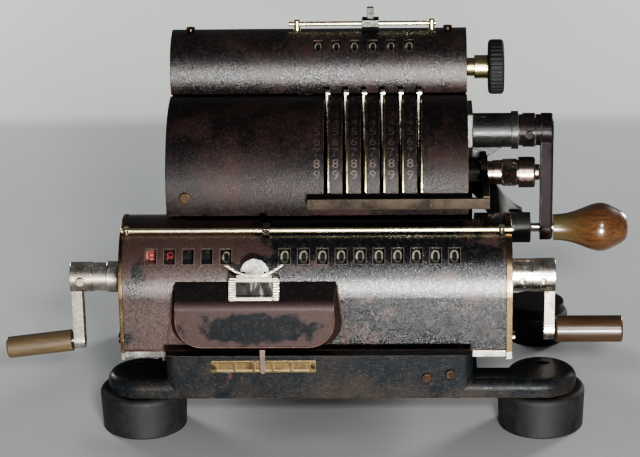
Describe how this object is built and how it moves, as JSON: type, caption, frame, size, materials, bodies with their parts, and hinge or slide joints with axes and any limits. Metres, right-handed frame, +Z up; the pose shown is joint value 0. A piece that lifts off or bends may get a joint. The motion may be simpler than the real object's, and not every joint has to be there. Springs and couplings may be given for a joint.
{
  "type": "mechanical adding machine",
  "caption": "Antique hand-cranked pinwheel adding machine: black lacquered drum housing, shifting carriage, nickel cranks, wooden grips, rubber feet.",
  "frame": {"origin": "under the middle of the whole machine, on the floor", "axes": "+X to the operator's right along the carriage, -Y towards the operator, +Z up"},
  "size_m": [0.2754, 0.1304, 0.1641],
  "materials": {
    "black_lacquer": "textured",
    "carriage_lacquer": "worn",
    "base_lacquer": "worn",
    "foot_rubber": "matte",
    "bright_nickel": "worn",
    "steel_parts": "satin",
    "aged_brass": "worn",
    "cast_black": "satin",
    "bronze_dark": "worn",
    "ebonite": "matte",
    "varnished_wood": "gloss",
    "pale_wood": "worn",
    "red_wood": "satin",
    "numeral_black": "satin"
  },
  "bodies": {
    "base": {"rubber_feet": "foot_rubber", "base_frame": "base_lacquer", "position_plate": "aged_brass", "carriage_bed": "steel_parts", "left_side_frame": "cast_black", "right_side_frame": "cast_black", "drum_cover": "black_lacquer", "dial_cover": "black_lacquer", "case_screws": "steel_parts", "top_marker_rail": "aged_brass", "crank_bracket": "cast_black"},
    "crank": {"crank_shaft": "steel_parts", "crank_arm": "cast_black"},
    "plunger": {"crank_plunger": "steel_parts"},
    "crank_handle": {"crank_grip": "varnished_wood"},
    "rotor": {"pinwheel_rotor": "steel_parts"},
    "dial_turner": {"dial_knob_hub": "aged_brass", "dial_knob": "ebonite"},
    "zeroing": {"zero_bar": "aged_brass", "zero_knob": "bronze_dark"},
    "top_marker": {"marker_slider_top": "bright_nickel"},
    "carriage": {"carriage_cover": "carriage_lacquer", "carriage_ends": "bright_nickel", "carriage_hood": "carriage_lacquer", "pointer": "bright_nickel", "carriage_rod": "aged_brass", "shift_frame": "bright_nickel"},
    "point_marker": {"carriage_marker": "cast_black"},
    "catch_lever": {"shift_lever": "bright_nickel"},
    "counter_clearing": {"counter_crank": "bright_nickel"},
    "counter_handle": {"counter_grip": "pale_wood"},
    "result_clearing": {"result_crank": "bright_nickel"},
    "result_handle": {"result_grip": "red_wood"},
    "lever_1": {"setting_lever_1": "bright_nickel"},
    "dial_1": {"dial_wheel_1": "numeral_black"},
    "lever_2": {"setting_lever_2": "bright_nickel"},
    "dial_2": {"dial_wheel_2": "numeral_black"},
    "lever_3": {"setting_lever_3": "bright_nickel"},
    "dial_3": {"dial_wheel_3": "numeral_black"},
    "lever_4": {"setting_lever_4": "bright_nickel"},
    "dial_4": {"dial_wheel_4": "numeral_black"},
    "lever_5": {"setting_lever_5": "bright_nickel"},
    "dial_5": {"dial_wheel_5": "numeral_black"},
    "lever_6": {"setting_lever_6": "bright_nickel"},
    "dial_6": {"dial_wheel_6": "numeral_black"},
    "result_1": {"result_wheel_1": "numeral_black"},
    "result_2": {"result_wheel_2": "numeral_black"},
    "result_3": {"result_wheel_3": "numeral_black"},
    "result_4": {"result_wheel_4": "numeral_black"},
    "result_5": {"result_wheel_5": "numeral_black"},
    "result_6": {"result_wheel_6": "numeral_black"},
    "result_7": {"result_wheel_7": "numeral_black"},
    "result_8": {"result_wheel_8": "numeral_black"},
    "result_9": {"result_wheel_9": "numeral_black"},
    "result_10": {"result_wheel_10": "numeral_black"},
    "counter_1": {"counter_wheel_1": "numeral_black"},
    "counter_2": {"counter_wheel_2": "numeral_black"},
    "counter_3": {"counter_wheel_3": "numeral_black"},
    "counter_4": {"counter_wheel_4": "numeral_black"},
    "counter_5": {"counter_wheel_5": "numeral_black"}
  },
  "joints": [
    {"name": "crank_turn", "type": "hinge", "parent": "base", "child": "crank", "pos_m": [0.0705, 0.0216, 0.1104], "axis": [1, 0, 0], "continuous": true},
    {"name": "plunger_pull", "type": "slide", "parent": "crank", "child": "plunger", "axis": [1, 0, 0], "range_m": [0, 0.004], "stiffness_N_per_m": 300, "springref_m": -0.003},
    {"name": "crank_handle_spin", "type": "hinge", "parent": "plunger", "child": "crank_handle", "pos_m": [0.1155, 0.0216, 0.0646], "axis": [1, 0, 0], "continuous": true},
    {"name": "rotor_turn", "type": "hinge", "parent": "base", "child": "rotor", "pos_m": [0.0105, 0.0118, 0.094], "axis": [1, 0, 0], "continuous": true},
    {"name": "lever_1_set", "type": "hinge", "parent": "base", "child": "lever_1", "pos_m": [0.0046, 0.0118, 0.094], "axis": [1, 0, 0], "range_deg": [0, 72]},
    {"name": "dial_1_turn", "type": "hinge", "parent": "base", "child": "dial_1", "pos_m": [0.0002, 0.0325, 0.1364], "axis": [1, 0, 0], "range_deg": [0, 324]},
    {"name": "lever_2_set", "type": "hinge", "parent": "base", "child": "lever_2", "pos_m": [0.0126, 0.0118, 0.094], "axis": [1, 0, 0], "range_deg": [0, 72]},
    {"name": "dial_2_turn", "type": "hinge", "parent": "base", "child": "dial_2", "pos_m": [0.0082, 0.0325, 0.1364], "axis": [1, 0, 0], "range_deg": [0, 324]},
    {"name": "lever_3_set", "type": "hinge", "parent": "base", "child": "lever_3", "pos_m": [0.0206, 0.0118, 0.094], "axis": [1, 0, 0], "range_deg": [0, 72]},
    {"name": "dial_3_turn", "type": "hinge", "parent": "base", "child": "dial_3", "pos_m": [0.0162, 0.0325, 0.1364], "axis": [1, 0, 0], "range_deg": [0, 324]},
    {"name": "lever_4_set", "type": "hinge", "parent": "base", "child": "lever_4", "pos_m": [0.0286, 0.0118, 0.094], "axis": [1, 0, 0], "range_deg": [0, 72]},
    {"name": "dial_4_turn", "type": "hinge", "parent": "base", "child": "dial_4", "pos_m": [0.0242, 0.0325, 0.1364], "axis": [1, 0, 0], "range_deg": [0, 324]},
    {"name": "lever_5_set", "type": "hinge", "parent": "base", "child": "lever_5", "pos_m": [0.0366, 0.0118, 0.094], "axis": [1, 0, 0], "range_deg": [0, 72]},
    {"name": "dial_5_turn", "type": "hinge", "parent": "base", "child": "dial_5", "pos_m": [0.0322, 0.0325, 0.1364], "axis": [1, 0, 0], "range_deg": [0, 324]},
    {"name": "lever_6_set", "type": "hinge", "parent": "base", "child": "lever_6", "pos_m": [0.0446, 0.0118, 0.094], "axis": [1, 0, 0], "range_deg": [0, 72]},
    {"name": "dial_6_turn", "type": "hinge", "parent": "base", "child": "dial_6", "pos_m": [0.0402, 0.0325, 0.1364], "axis": [1, 0, 0], "range_deg": [0, 324]},
    {"name": "dial_knob_turn", "type": "hinge", "parent": "base", "child": "dial_turner", "pos_m": [0.0705, 0.0325, 0.1364], "axis": [1, 0, 0], "continuous": true},
    {"name": "zeroing_swing", "type": "hinge", "parent": "base", "child": "zeroing", "pos_m": [0.0705, 0.0118, 0.094], "axis": [-1, 0, 0], "range_deg": [0, 65]},
    {"name": "top_marker_slide", "type": "slide", "parent": "base", "child": "top_marker", "axis": [1, 0, 0], "range_m": [-0.026, 0.021]},
    {"name": "carriage_step", "type": "slide", "parent": "base", "child": "carriage", "axis": [1, 0, 0], "range_m": [-0.016, 0.016]},
    {"name": "point_marker_slide", "type": "slide", "parent": "carriage", "child": "point_marker", "axis": [1, 0, 0], "range_m": [-0.055, 0.09]},
    {"name": "catch_lever_press", "type": "hinge", "parent": "carriage", "child": "catch_lever", "pos_m": [-0.0255, -0.0513, 0.0682], "axis": [-1, 0, 0], "range_deg": [0, 4], "stiffness_Nm_per_rad": 0.02, "springref_deg": -11.46},
    {"name": "counter_clear_turn", "type": "hinge", "parent": "carriage", "child": "counter_clearing", "pos_m": [-0.0895, -0.022, 0.0586], "axis": [1, 0, 0], "continuous": true},
    {"name": "counter_handle_spin", "type": "hinge", "parent": "counter_clearing", "child": "counter_handle", "pos_m": [-0.1065, -0.022, 0.029], "axis": [-0.9925, 0, -0.1219], "continuous": true},
    {"name": "result_clear_turn", "type": "hinge", "parent": "carriage", "child": "result_clearing", "pos_m": [0.0905, -0.022, 0.0586], "axis": [1, 0, 0], "continuous": true},
    {"name": "result_handle_spin", "type": "hinge", "parent": "result_clearing", "child": "result_handle", "pos_m": [0.1105, -0.022, 0.0333], "axis": [1, 0, 0], "continuous": true},
    {"name": "result_1_turn", "type": "hinge", "parent": "carriage", "child": "result_1", "pos_m": [-0.013, -0.022, 0.0586], "axis": [1, 0, 0], "continuous": true},
    {"name": "result_2_turn", "type": "hinge", "parent": "carriage", "child": "result_2", "pos_m": [-0.005, -0.022, 0.0586], "axis": [1, 0, 0], "continuous": true},
    {"name": "result_3_turn", "type": "hinge", "parent": "carriage", "child": "result_3", "pos_m": [0.003, -0.022, 0.0586], "axis": [1, 0, 0], "continuous": true},
    {"name": "result_4_turn", "type": "hinge", "parent": "carriage", "child": "result_4", "pos_m": [0.011, -0.022, 0.0586], "axis": [1, 0, 0], "continuous": true},
    {"name": "result_5_turn", "type": "hinge", "parent": "carriage", "child": "result_5", "pos_m": [0.019, -0.022, 0.0586], "axis": [1, 0, 0], "continuous": true},
    {"name": "result_6_turn", "type": "hinge", "parent": "carriage", "child": "result_6", "pos_m": [0.027, -0.022, 0.0586], "axis": [1, 0, 0], "continuous": true},
    {"name": "result_7_turn", "type": "hinge", "parent": "carriage", "child": "result_7", "pos_m": [0.035, -0.022, 0.0586], "axis": [1, 0, 0], "continuous": true},
    {"name": "result_8_turn", "type": "hinge", "parent": "carriage", "child": "result_8", "pos_m": [0.043, -0.022, 0.0586], "axis": [1, 0, 0], "continuous": true},
    {"name": "result_9_turn", "type": "hinge", "parent": "carriage", "child": "result_9", "pos_m": [0.051, -0.022, 0.0586], "axis": [1, 0, 0], "continuous": true},
    {"name": "result_10_turn", "type": "hinge", "parent": "carriage", "child": "result_10", "pos_m": [0.059, -0.022, 0.0586], "axis": [1, 0, 0], "continuous": true},
    {"name": "counter_1_turn", "type": "hinge", "parent": "carriage", "child": "counter_1", "pos_m": [-0.07, -0.022, 0.0586], "axis": [1, 0, 0], "continuous": true},
    {"name": "counter_2_turn", "type": "hinge", "parent": "carriage", "child": "counter_2", "pos_m": [-0.062, -0.022, 0.0586], "axis": [1, 0, 0], "continuous": true},
    {"name": "counter_3_turn", "type": "hinge", "parent": "carriage", "child": "counter_3", "pos_m": [-0.054, -0.022, 0.0586], "axis": [1, 0, 0], "continuous": true},
    {"name": "counter_4_turn", "type": "hinge", "parent": "carriage", "child": "counter_4", "pos_m": [-0.046, -0.022, 0.0586], "axis": [1, 0, 0], "continuous": true},
    {"name": "counter_5_turn", "type": "hinge", "parent": "carriage", "child": "counter_5", "pos_m": [-0.038, -0.022, 0.0586], "axis": [1, 0, 0], "continuous": true}
  ],
  "couplings": [
    {"joint": "rotor_turn", "follows": "crank_turn", "ratio": -1},
    {"joint": "dial_1_turn", "follows": "lever_1_set", "ratio": 4.5},
    {"joint": "dial_2_turn", "follows": "lever_2_set", "ratio": 4.5},
    {"joint": "dial_3_turn", "follows": "lever_3_set", "ratio": 4.5},
    {"joint": "dial_4_turn", "follows": "lever_4_set", "ratio": 4.5},
    {"joint": "dial_5_turn", "follows": "lever_5_set", "ratio": 4.5},
    {"joint": "dial_6_turn", "follows": "lever_6_set", "ratio": 4.5}
  ]
}
